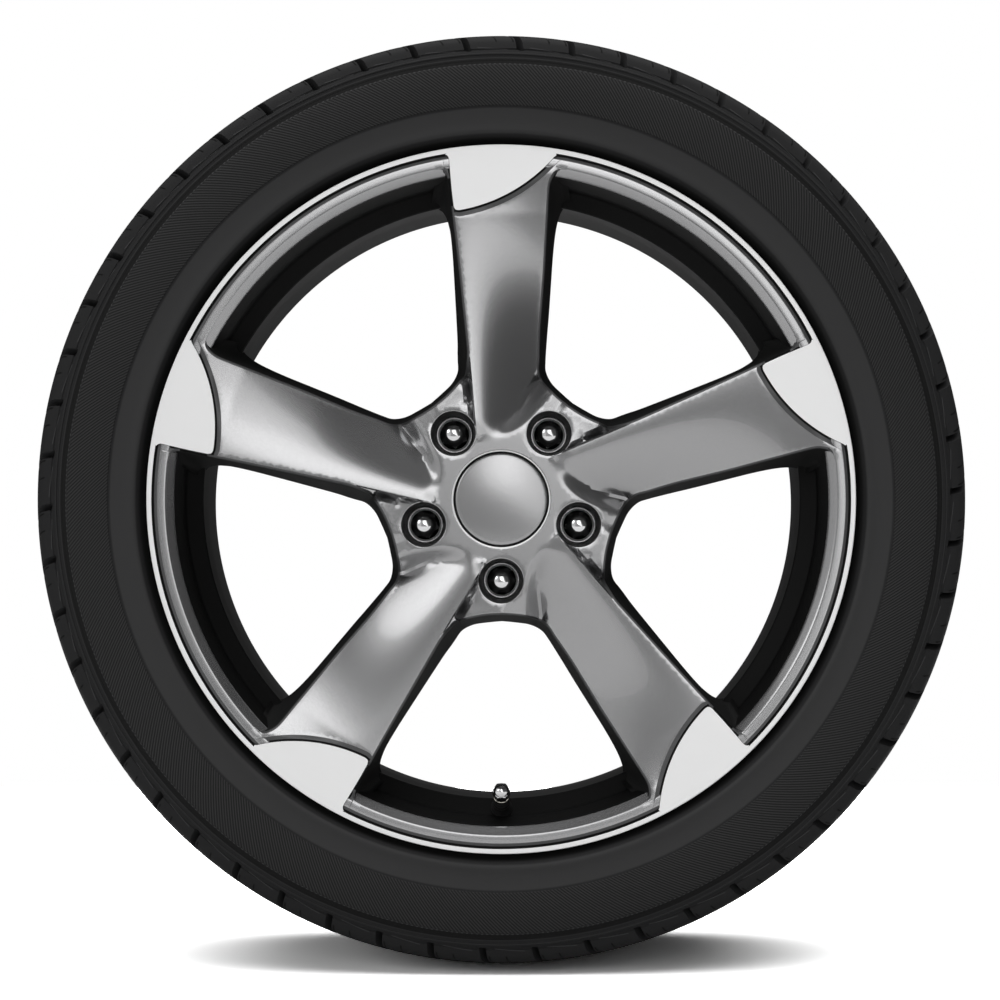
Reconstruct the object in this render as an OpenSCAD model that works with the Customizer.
// Passenger-car tyre mounted on a five-spoke alloy wheel, all sizes in millimetres.
// Each module is drawn with x to the right, y up and z outboard, about the wheel's centre.

/* [Tyre] */
// Outside diameter of the inflated tyre
tyre_diameter = 668.7; // [660:0.1:676]
// Section width across the two sidewalls
tyre_width = 236; // [230:1:242]
// Depth of the grooves that run around the tread
tread_depth = 8; // [5:0.5:9]
// Width of each groove that runs around the tread
groove_width = 9; // [6:0.5:11]
// Number of shoulder blocks around each side
pitch_count = 54; // [48:1:60]
// Width of the slots between shoulder blocks
slot_width = 3.2; // [2:0.1:4.5]
// Lean of the shoulder slots in degrees
slot_lean = 14; // [5:1:20]

/* [Rim] */
// Diameter of the bead seats
seat_diameter = 462; // [457:0.1:467]
// Width between the flanges
rim_width = 203.2; // [199:0.1:207]
// Height of a flange over its bead seat
flange_height = 17.3; // [16.5:0.1:18]
// Distance from a flange's inner face to the lip's outer plane
lip_depth = 12; // [11:0.1:13]
// Thickness of the barrel wall
barrel_wall = 4.5; // [4:0.1:5.5]
// Depth of the drop well's inside face under the bead seats
well_depth = 18; // [16:0.5:20]

/* [Hub] */
// Distance of the mounting pad outboard of the wheel's mid-plane
pad_offset = 50; // [46:0.5:54]
// Diameter of the mounting pad
pad_diameter = 152; // [146:1:160]
// Diameter of the centre bore
centre_bore = 73.1; // [66:0.1:74]
// Diameter of the circle of lug holes
lug_circle = 114.3; // [112:0.1:118]
// Diameter of a lug hole
lug_hole = 14; // [13.4:0.1:14.6]
// Diameter of a lug well's floor
well_floor = 26.4; // [25:0.1:28]
// Diameter of a lug well's mouth
well_mouth = 30; // [29:0.1:32]
// Thickness of the pad under a nut's seat
seat_land = 15; // [13:0.5:17]

/* [Spokes] */
// Depth of the step round the machined spoke tips
tip_step = 1.2; // [0.8:0.1:2]
// Fall of a blade from its crest to its right edge, near the hub
blade_fall = 21; // [14:0.5:24]
// Height of the hub land under the lip's plane
land_drop = 4; // [2:0.5:6]

/* [Centre cap] */
// Diameter of the centre cap's disc
cap_diameter = 66; // [64:0.1:67]
// Gap around the centre cap
cap_gap = 0.4; // [0.3:0.05:0.6]
// Height of the cap's dome
cap_dome = 2.4; // [1:0.1:3]

/* [Lug nuts] */
// Width of the hexagon across its flats
nut_flats = 17; // [16:0.1:17.5]
// Length of a nut from its seat's small end to its crown
nut_length = 38; // [35:0.5:40]
// Bore of a nut for its stud
nut_bore = 10.9; // [10.6:0.1:11.5]

/* [Valve] */
// Lean of the valve from the wheel's axis in degrees
valve_lean = 28; // [25:1:30]
// Diameter of the valve hole in the barrel
valve_hole = 11.5; // [11.3:0.1:11.8]
// Diameter of the valve's threaded stem
stem_diameter = 7.7; // [7.5:0.1:7.9]
// Width of the valve cap's hexagon across its flats
cap_flats = 11; // [10.6:0.1:12]
// Running clearance of the valve cap on the stem, on the radius
cap_clearance = 0.08; // [0.03:0.01:0.1]
// Radial clearance of the core pin in its guide
pin_clearance = 0.05; // [0.02:0.01:0.09]
// Travel of the core pin
pin_travel = 2; // [1:0.1:2]

/* [Hidden] */
$fn = 96;
R = tyre_diameter / 2;
W = tyre_width / 2;
S = seat_diameter / 2;
F = S + flange_height;
H = rim_width / 2;
ZL = H + lip_depth;
curl = lip_depth - 2.5;
curl_z = H + curl;
curl_x = F - curl;
rest_gap = 0.3;
well_r = S - well_depth;
well_out = well_r + barrel_wall;
slope = tan(valve_lean);
inner_seat_r = S - 6;
slope_top = S - 3.5;
slope_out_z = H - 26;
slope_in_r = slope_top - 5 * sin(valve_lean);
slope_in_z = slope_out_z + 5 * cos(valve_lean);
k = F / 248.3;
land_z = ZL - land_drop;
nut_seat_z = pad_offset + seat_land;
pocket_r = 10.3 + (nut_flats - 17) * 0.58;
seat_height = (pocket_r - lug_hole / 2) / tan(30);
floor_z = nut_seat_z + seat_height + 7.5;
bore_r = centre_bore / 2;
recess_r = cap_diameter / 2 + cap_gap;
ledge_z = land_z - 5.6;
clip_bore_r = cap_diameter / 2 - 3;
clip_under_r = clip_bore_r + 1.6;
clip_depth = 11;

// Tyre section, half of it, from the middle of the tread to the flange
function groove(z, w, r, d) = [[r, z - w / 2], [r - d, z - w / 2 + 1.2], [r - d, z + w / 2 - 1.2], [r, z + w / 2]];
function tyre_outer() = concat(
    [[R, 0]],
    groove(17.5, groove_width, R - 0.15, tread_depth),
    [[R - 0.6, 34]],
    groove(51, groove_width, R - 1.5, tread_depth),
    [[R - 2.6, 64], [R - 5.1, 84], [R - 7.7, W - 20], [R - 8.8, W - 15], [R - 10.6, W - 11.6],
     [R - 14, W - 9.2], [R - 18.5, W - 7.6], [R - 21.5, W - 6.7], [R - 21.9, W - 5.9],
     [R - 23.3, W - 5.5], [R - 23.8, W - 6.1], [R - 26.2, W - 5.3], [R - 30.4, W - 3.6],
     [R - 30.9, W - 3], [R - 40, W - 1], [R - 50, W], [R - 59.4, W - 0.2], [R - 60, W - 0.8],
     [F + 21, W - 1.4], [F + 15, W - 1.6], [F + 10.5, W - 1.1], [F + 8.2, W - 1.2],
     [F + 7, W - 2.2], [F + 5.2, W - 5], [F + 3.2, ZL - 3.2], [F + 0.4, ZL - 6.2]]);
function curl_points(off, from, to, n) = [for (i = [0:n])
    let (a = from + (to - from) * i / n)
    [curl_x + (curl + off) * sin(a), curl_z - (curl + off) * cos(a)]];
function bead() = [[curl_x, H], [S + 4, H], [S + 0.32, H - 4.9], [S - 1.2, H - 17.4], [S - 0.6, H - 19.8]];
function tyre_inner() = [[S + 5, H - 20], [S + 12, H - 15.5], [S + 21, H - 7], [S + 32, W - 14],
    [S + 45, W - 8.5], [S + 59, W - 7.5], [R - 30, W - 11], [R - 20, W - 20], [R - 14.5, W - 34],
    [R - 12, W - 52], [R - 11, W - 80], [R - 11, 0]];
function half_tyre() = concat(tyre_outer(), curl_points(rest_gap, 56, 8, 4), bead(), tyre_inner());
function reversed(p) = [for (i = [len(p) - 1:-1:0]) p[i]];
function mirrored(p) = [for (q = p) [q[0], -q[1]]];

function tyre_section() = let (half = half_tyre())
    concat(half, reversed([for (q = half) if (q[1] > 0.001) [q[0], -q[1]]]));

module tyre() {
    color([0.045, 0.045, 0.048])
    difference() {
        rotate_extrude()
        polygon(tyre_section());
        for (i = [0:pitch_count - 1], side = [0, 1])
            rotate([0, 0, (i + 0.5 * side) * 360 / pitch_count])
            mirror([0, 0, side])
            shoulder_slot();
    }
}

// A slot's foot lies on the face between two of the section's corners
module shoulder_slot() {
    foot_r = R - 16.8;
    foot_z = W - 8.2;
    translate([foot_r, 0, foot_z])
    rotate([slot_lean, 0, 0])
    translate([0, 0, -foot_z])
    rotate([90, 0, 0])
    translate([0, 0, -slot_width / 2])
    linear_extrude(slot_width)
    polygon([[R - tread_depth - 0.7 - foot_r, W - 41.3], [0, foot_z], [-0.6, W + 20], [40, W + 20], [40, W - 41.3]]);
}

// Rim section, drop centre between two bead seats
function rim_outer() = concat(
    [[F, ZL]],
    reversed(curl_points(0, 0, 90, 4)),
    [[S + 4, H], [S, H - 5.1], [S - 1.5, H - 17.6], [S - 0.7, H - 21.1], [S - 1.4, H - 23.6],
     [slope_top, slope_out_z], [well_out, slope_out_z - (slope_top - well_out) * slope],
     [well_out, 42], [well_out + 5, 28], [S - 4, -62], [S - 3.5, -H + 24], [S - 0.7, -H + 21.1], [S - 1.5, -H + 17.6],
     [S, -H + 5.1], [S + 4, -H]],
    mirrored(curl_points(0, 0, 90, 4)),
    [[F, -ZL]]);
function rim_inner() = [[F - 4.5, -ZL], [F - 6, -ZL + 2.4], [curl_x - 5, -ZL + 5], [inner_seat_r + 2, -ZL + 9],
    [inner_seat_r, -H - 1], [inner_seat_r - 0.4, -H + 20], [S - 8.6, -62], [well_r + 5, 26],
    [well_r, 42], [well_r, slope_in_z - (slope_in_r - well_r) * slope], [slope_in_r, slope_in_z],
    [inner_seat_r, H - 12], [inner_seat_r + 1.2, H - 1], [F - 18.8, ZL - 9.6], [F - 17.2, ZL - 7],
    [F - 13.6, ZL - 3.4], [F - 5, ZL - 1.2], [F - 4.5, ZL]];

// Front and back of the disc before the blades and windows are cut
function disc_profile() = [[0, pad_offset], [0, land_z], [60 * k, land_z], [80 * k, land_z - 1.8],
    [92 * k, land_z - 0.4], [150 * k, ZL - 2.2], [199.5 * k, ZL - 0.4], [200.5 * k, ZL], [F - 2.3, ZL], [F - 2.3, ZL - 5.6],
    [F - 8.3, ZL - 9.6], [S - 1, H - 2.6], [S - 3.5, H - 12], [S - 4, H - 20],
    [well_r + 7, slope_in_z - (slope_in_r - well_r - 7) * slope - 3.4], [well_r + 2.4, H - 31],
    [well_r + 2.4, 68], [180 * k, 63], [130 * k, 56], [102 * k, 52.4], [pad_diameter / 2 + 4, pad_offset + 2],
    [pad_diameter / 2, pad_offset]];

// Outline of a window in its own frame, rho along its middle line and w across it
function from_right(p) = [0.5878 * p[0] + 0.8090 * p[1], -0.8090 * p[0] + 0.5878 * p[1]];
function from_left(p) = [-0.5878 * p[0] + 0.8090 * p[1], -0.8090 * p[0] - 0.5878 * p[1]];
right_front = [[28.3, 101], [29.2, 120], [30.2, 140], [31.5, 160], [32.4, 180], [33.2, 200], [35, 225], [38, 262]];
right_back = [[31.6, 101], [32.7, 118], [34, 134], [35.4, 154.5], [36.8, 175], [38.4, 195.5], [41.5, 213], [50, 262]];
left_front = [[-21, 100], [-22, 115], [-23.3, 130], [-25, 150], [-27, 170], [-29.2, 187], [-31.8, 202], [-38, 262]];
left_back = [[-31.9, 99], [-32, 113.2], [-32.9, 133.8], [-34, 154.4], [-35, 175], [-36.4, 195.5], [-39.5, 208], [-50, 262]];
hub_front = [[86.8, -31], [84, -22], [82, -11], [81.3, 0], [82, 10.8], [83.8, 21.5], [88.5, 31]];
hub_back = [[93.8, -28.7], [89.6, -20.5], [88, -10.4], [87, 0], [88, 10.4], [89.6, 20.5], [93.8, 28.7]];
function window_outline(right, left, hub) = concat(
    [for (p = right) from_right(p)], [[292, 0]], [for (p = reversed(left)) from_left(p)], hub);
function lerp_list(a, b, t) = [for (i = [0:len(a) - 1]) a[i] + (b[i] - a[i]) * t];
function at_height(p, z) = [for (q = p) [q[0] * k, q[1] * k, z]];

// A solid between stacked outlines of equal point count, each wound anticlockwise seen from above
module stacked(layers, centre_low, centre_high) {
    n = len(layers[0]);
    m = len(layers);
    points = concat([for (l = layers) each l], [centre_low, centre_high]);
    sides = [for (j = [0:m - 2], i = [0:n - 1]) each
        [[j * n + i, (j + 1) * n + (i + 1) % n, j * n + (i + 1) % n],
         [j * n + i, (j + 1) * n + i, (j + 1) * n + (i + 1) % n]]];
    low = [for (i = [0:n - 1]) [n * m, i, (i + 1) % n]];
    high = [for (i = [0:n - 1]) [n * m + 1, (m - 1) * n + (i + 1) % n, (m - 1) * n + i]];
    polyhedron(points, concat(sides, low, high), convexity = 6);
}

module window_cut() {
    front = reversed(window_outline(right_front, left_front, hub_front));
    back = reversed(window_outline(right_back, left_back, hub_back));
    z_front = ZL - 4;
    z_back = 56;
    low = lerp_list(back, front, -0.35);
    high = lerp_list(back, front, 1.3);
    z_low = z_back - 0.35 * (z_front - z_back);
    z_high = z_back + 1.3 * (z_front - z_back);
    rotate([0, 0, 54])
    stacked([at_height(low, z_low), at_height(high, z_high)], [190 * k, 0, z_low], [190 * k, 0, z_high]);
}

// The blade's height, twisting from level at the tip to steep near the hub
function clamp(x, a, b) = min(max(x, a), b);
function smooth(x) = let (t = clamp(x, 0, 1)) t * t * (3 - 2 * t);
function crest_z(v) = min(ZL - tip_step - 5 * (1 - pow((v - 115) / 85, 2)), ZL - tip_step);
function crest_u(v) = -18 - 0.016 * (v - 50) - 0.00042 * pow(v - 50, 2);
function edge_u(v) = 25.5 + 0.042 * v;
function tilt(v) = blade_fall * (1 - pow(clamp((v - 60) / 168, 0, 1), 1.5));
function tip_v(u) = 316.7 - sqrt(116.1 * 116.1 - pow(u + 47.1, 2));
function scoop_v(u) = 42 + 0.0178 * pow(u + 8, 2);
function blade_z(u, v, from_hub) = let (
    across = clamp((u - crest_u(v)) / (edge_u(v) - crest_u(v)), 0, 1.3),
    low = crest_z(v) - tilt(v) * pow(across, 1.25),
    rise = 1 - smooth(from_hub / 20))
    low + (land_z + 0.6 - low) * rise * smooth((across + 0.15) / 0.3);
columns = 10;
rows = 18;
function blade_point(i, j) = let (
    a = i / columns,
    b = pow(j / rows, 1.25),
    u0 = -22 + 59 * a,
    u1 = -36.5 + 83 * a,
    v0 = scoop_v(u0),
    v1 = tip_v(u1),
    u = u0 + (u1 - u0) * b,
    v = v0 + (v1 - v0) * b)
    [u, v, norm([u - u0, v - v0])];

module blade_cut() {
    n = columns + 1;
    surface_points = [for (j = [0:rows], i = [0:columns]) let (p = blade_point(i, j))
        [p[0] * k, p[1] * k, blade_z(p[0], p[1], p[2])]];
    roof_points = [for (j = [0:rows], i = [0:columns]) let (p = blade_point(i, j)) [p[0] * k, p[1] * k, ZL + 12]];
    m = len(surface_points);
    floor_faces = [for (j = [0:rows - 1], i = [0:columns - 1]) let (q = j * n + i) each
        [[q, q + 1, q + n + 1], [q, q + n + 1, q + n]]];
    roof_faces = [for (j = [0:rows - 1], i = [0:columns - 1]) let (q = m + j * n + i) each
        [[q, q + n + 1, q + 1], [q, q + n, q + n + 1]]];
    hub_side = [for (i = [0:columns - 1]) each [[i, m + i, i + 1], [i + 1, m + i, m + i + 1]]];
    tip_side = [for (i = [0:columns - 1]) let (q = rows * n + i) each [[q, q + 1, m + q], [q + 1, m + q + 1, m + q]]];
    left_side = [for (j = [0:rows - 1]) let (q = j * n) each [[q, q + n, m + q], [q + n, m + q + n, m + q]]];
    right_side = [for (j = [0:rows - 1]) let (q = j * n + columns) each
        [[q, m + q, q + n], [q + n, m + q, m + q + n]]];
    polyhedron(concat(surface_points, roof_points),
        concat(floor_faces, roof_faces, hub_side, tip_side, left_side, right_side), convexity = 6);
}

// The groove between a spoke's crest and the land beside it
module crest_groove() {
    top = ZL + 12;
    low = [[-18.6, 48, land_z + 0.2], [-36, 93, land_z - 1.5], [-21.8, 108, land_z - 30]];
    polyhedron(
        [for (p = low) [p[0] * k, p[1] * k, p[2]], for (p = low) [p[0] * k, p[1] * k, top]],
        [[0, 1, 2], [3, 5, 4], [0, 3, 1], [1, 3, 4], [1, 4, 2], [2, 4, 5], [2, 5, 0], [0, 5, 3]]);
}

// A lightening pocket in the back of a spoke
module back_pocket() {
    translate([2 * k, 0, 40])
    linear_extrude(26)
    polygon([[-14, 100 * k], [14, 100 * k], [20, 120 * k], [22, 185 * k], [16, 192 * k], [-16, 192 * k], [-22, 185 * k], [-20, 120 * k]]);
}

module lug_hole_cut() {
    translate([0, lug_circle / 2, pad_offset - 5])
    cylinder(h = seat_land + 10, d = lug_hole);
    translate([0, lug_circle / 2, nut_seat_z])
    cylinder(h = seat_height, r1 = lug_hole / 2, r2 = pocket_r);
    translate([0, lug_circle / 2, nut_seat_z + seat_height - 0.05])
    cylinder(h = 20, r = pocket_r);
    translate([0, lug_circle / 2, floor_z])
    cylinder(h = land_z - 1.4 - floor_z, d1 = well_floor, d2 = well_mouth - 1.6);
    translate([0, lug_circle / 2, land_z - 1.45])
    cylinder(h = 3, d1 = well_mouth - 1.6, d2 = well_mouth + 2);
}

module hub_bore_cut() {
    translate([0, 0, pad_offset - 5])
    cylinder(h = 35, r = bore_r);
    translate([0, 0, pad_offset - 0.01])
    cylinder(h = 1.5, r1 = bore_r + 1.5, r2 = bore_r);
    translate([0, 0, pad_offset + 25])
    cylinder(h = ledge_z - clip_depth - pad_offset - 25, r = clip_under_r);
    translate([0, 0, ledge_z - clip_depth - 0.5])
    cylinder(h = clip_depth + 5, r = clip_bore_r);
    translate([0, 0, ledge_z])
    cylinder(h = 20, r = recess_r);
}

// The valve's own frame, z along its stem, at the wall's outer spot face
valve_r = well_r + 6.4;
valve_z = slope_in_z - (slope_in_r - valve_r) * slope;
module at_valve() {
    translate([0, -valve_r, valve_z])
    rotate([-valve_lean, 0, 0])
    translate([0, 0, -0.4])
    children();
}
spot_wall = 4.2;

module valve_hole_cut() {
    at_valve() {
        translate([0, 0, -12])
        cylinder(h = 24, d = valve_hole);
        cylinder(h = 12, r = 9.6);
        translate([0, 0, -spot_wall - 12])
        cylinder(h = 12, r = 11);
    }
}

module wheel() {
    color([0.42, 0.43, 0.44])
    difference() {
        union() {
            rotate_extrude()
            polygon(concat(rim_outer(), rim_inner()));
            difference() {
                rotate_extrude()
                polygon(disc_profile());
                for (i = [0:4])
                    rotate([0, 0, 72 * i]) {
                        window_cut();
                        blade_cut();
                        crest_groove();
                        back_pocket();
                    }
            }
        }
        for (i = [0:4])
            rotate([0, 0, 72 * i + 36])
            lug_hole_cut();
        hub_bore_cut();
        valve_hole_cut();
    }
}

// Centre cap with a shallow dome, six spring legs and a wire ring behind their barbs
leg_r = clip_bore_r - 0.4;
module centre_cap() {
    color([0.36, 0.37, 0.38])
    difference() {
        union() {
            translate([0, 0, ledge_z])
            rotate_extrude()
            polygon([[0, 0], [cap_diameter / 2, 0], [cap_diameter / 2, 3.2], [cap_diameter / 2 - 0.8, 4],
                [cap_diameter / 2 - 4, 4.2], [cap_diameter / 2 - 5, 3.6], [cap_diameter / 2 - 6, 4.1],
                [18, 3.2 + cap_dome * 0.75], [9, 3.2 + cap_dome * 0.95], [0, 3.2 + cap_dome]]);
            translate([0, 0, ledge_z - clip_depth - 4.5])
            rotate_extrude()
            polygon([[leg_r - 3.4, clip_depth + 4.6], [leg_r, clip_depth + 4.6], [leg_r, 3.8],
                [leg_r + 0.9, 3.2], [leg_r - 0.6, 0], [leg_r - 3.4, 0]]);
        }
        translate([0, 0, ledge_z - clip_depth - 1.6])
        rotate_extrude()
        translate([leg_r - 3.4, 0])
        circle(r = 1.1, $fn = 24);
        for (i = [0:2])
            rotate([0, 0, 60 * i + 30])
            translate([0, 0, ledge_z - clip_depth / 2 - 4.25])
            cube([cap_diameter, 9, clip_depth + 6.5], center = true);
    }
}

module cap_ring() {
    color([0.6, 0.6, 0.62])
    translate([0, 0, ledge_z - clip_depth - 1.6])
    rotate_extrude(angle = 336)
    translate([leg_r - 3.4, 0])
    circle(r = 0.8, $fn = 24);
}

// Closed lug nut with a coned seat, a hexagon and a domed crown
module lug_nut() {
    corner_r = nut_flats / 2 / cos(30);
    start = 0.5;
    cone_top = (nut_flats / 2 - 0.1 - lug_hole / 2) / tan(30);
    seat_clear = lug_hole / 2 - rest_gap;
    bore_top = nut_length - 10;
    translate([0, lug_circle / 2, nut_seat_z])
    difference() {
        union() {
            rotate_extrude()
            polygon([[0, start], [lug_hole / 2 + start * tan(30), start], [nut_flats / 2 - 0.1, cone_top],
                [nut_flats / 2 - 0.1, nut_length - 9], [nut_flats / 2 - 0.9, nut_length - 6],
                [6.2, nut_length - 2.6], [3.6, nut_length - 0.6], [1.4, nut_length], [0, nut_length]]);
            intersection() {
                translate([0, 0, cone_top])
                cylinder(h = nut_length - 9 - cone_top, r = corner_r, $fn = 6);
                cylinder(h = nut_length, r1 = seat_clear, r2 = seat_clear + nut_length * tan(30));
                translate([0, 0, nut_length - 68])
                cylinder(h = 60, r1 = corner_r + 59 * 0.4, r2 = corner_r - 1);
            }
        }
        translate([0, 0, -1])
        cylinder(h = bore_top + 1, d = nut_bore);
        translate([0, 0, bore_top - 0.01])
        cylinder(h = 3, r1 = nut_bore / 2, r2 = nut_bore / 2 - 4.8);
        translate([0, 0, start - 0.01])
        cylinder(h = 1, r1 = nut_bore / 2 + 1, r2 = nut_bore / 2);
    }
}

module lug_nuts() {
    color([0.8, 0.8, 0.82])
    for (i = [0:4])
        rotate([0, 0, 72 * i + 36])
        lug_nut();
}

// Snap-in valve: rubber body, brass stem, screwed-in core, cap and seal
stem_r = stem_diameter / 2;
stem_top = 33;
collar_z = 22;
core_bore = 2.5;
guide_r = 0.65 + pin_clearance;
module valve_body() {
    color([0.03, 0.03, 0.03])
    at_valve()
    rotate_extrude()
    polygon([[stem_r, -12], [8.4, -12], [9.4, -10.6], [9.4, -spot_wall], [valve_hole / 2 - rest_gap, -spot_wall],
        [valve_hole / 2 - rest_gap, 0], [7.6, 0], [7.6, 2.2], [6.4, 3.4], [6.4, 9], [5.9, 9.6], [6.2, 10.4],
        [6.1, 13], [5.6, 13.6], [5.9, 14.4], [5.7, 17], [5.2, 17.6], [5.4, 18.4], [5.2, collar_z], [stem_r, collar_z]]);
}

module valve_stem() {
    color([0.75, 0.73, 0.66])
    at_valve()
    rotate_extrude()
    polygon([[1.6, -13.5], [stem_r, -13.5], [stem_r, collar_z], [5.4, collar_z], [5.8, collar_z + 0.4],
        [5.8, collar_z + 1.6], [5.4, collar_z + 2], [stem_r, collar_z + 2], [stem_r, stem_top - 0.4],
        [stem_r - 0.4, stem_top], [core_bore, stem_top], [core_bore, 12], [1.6, 11]]);
}

core_low = 18;
module valve_core() {
    color([0.8, 0.65, 0.3])
    at_valve()
    rotate_extrude()
    polygon([[guide_r, core_low], [2.2, core_low], [core_bore, core_low + 0.3], [core_bore, stem_top - 1],
        [core_bore - 0.3, stem_top - 0.7], [2, stem_top - 0.7], [2, core_low + 2], [guide_r, core_low + 2]]);
}

head_z = stem_top - 3;
module core_pin() {
    color([0.85, 0.7, 0.35])
    at_valve()
    rotate_extrude()
    polygon([[0, core_low - 2.2], [2, core_low - 2.2], [2, core_low - 0.1], [0.65, core_low - 0.1],
        [0.65, head_z], [1.6, head_z], [1.6, head_z + 1], [0.65, head_z + 1.4], [0.65, stem_top - 0.5], [0, stem_top - 0.5]]);
}

// Coil of the valve core
spring_turns = 6;
spring_steps = 12;
wire_r = 0.22;
coil_r = 1.35;
spring_low = core_low + 2 + wire_r;
spring_high = head_z - wire_r;
module core_spring() {
    count = spring_turns * spring_steps;
    ring = 5;
    points = [for (i = [0:count], j = [0:ring - 1]) let (
        a = 360 * i / spring_steps,
        z = spring_low + (spring_high - spring_low) * i / count,
        r = coil_r + wire_r * cos(72 * j))
        [r * cos(a), r * sin(a), z + wire_r * sin(72 * j)]];
    sides = [for (i = [0:count - 1], j = [0:ring - 1]) let (
        a = i * ring + j,
        b = i * ring + (j + 1) % ring,
        c = a + ring,
        d = b + ring) each [[a, b, d], [a, d, c]]];
    start = [[4, 3, 2, 1, 0]];
    finish = [[for (j = [0:ring - 1]) count * ring + j]];
    color([0.6, 0.6, 0.6])
    at_valve()
    polyhedron(points, concat(sides, start, finish), convexity = 10);
}

seal_z = stem_top + 0.1;
cap_low = collar_z + 2.3;
cap_top = 36.6;
module valve_cap() {
    color([0.8, 0.8, 0.82])
    at_valve()
    difference() {
        union() {
            translate([0, 0, cap_low])
            cylinder(h = 8.2, r = cap_flats / 2 / cos(30), $fn = 6);
            translate([0, 0, cap_low + 8.2])
            cylinder(h = 1.6, r1 = cap_flats / 2 - 0.1, r2 = cap_flats / 2 - 0.7);
            translate([0, 0, cap_low + 9.8])
            cylinder(h = 1.5, r1 = cap_flats / 2 - 0.7, r2 = 3.2);
            translate([0, 0, cap_low + 11.3])
            cylinder(h = cap_top - cap_low - 11.3, r1 = 3.2, r2 = 1.2);
        }
        translate([0, 0, cap_low - 1])
        cylinder(h = seal_z + 1.5 - cap_low + 1, r = stem_r + cap_clearance);
    }
}

module cap_seal() {
    color([0.1, 0.1, 0.1])
    at_valve()
    translate([0, 0, seal_z])
    difference() {
        cylinder(h = 1.2, r = stem_r - 0.3);
        translate([0, 0, -1])
        cylinder(h = 4, r = 1.4);
    }
}

// The wheel's axis lies along y, its outboard face towards -y
module stand() {
    rotate([90, 0, 0])
    children();
}

stand() tyre();
stand() wheel();
stand() centre_cap();
stand() cap_ring();
stand() lug_nuts();
stand() valve_body();
stand() valve_stem();
stand() valve_core();
stand() core_pin();
stand() core_spring();
stand() valve_cap();
stand() cap_seal();
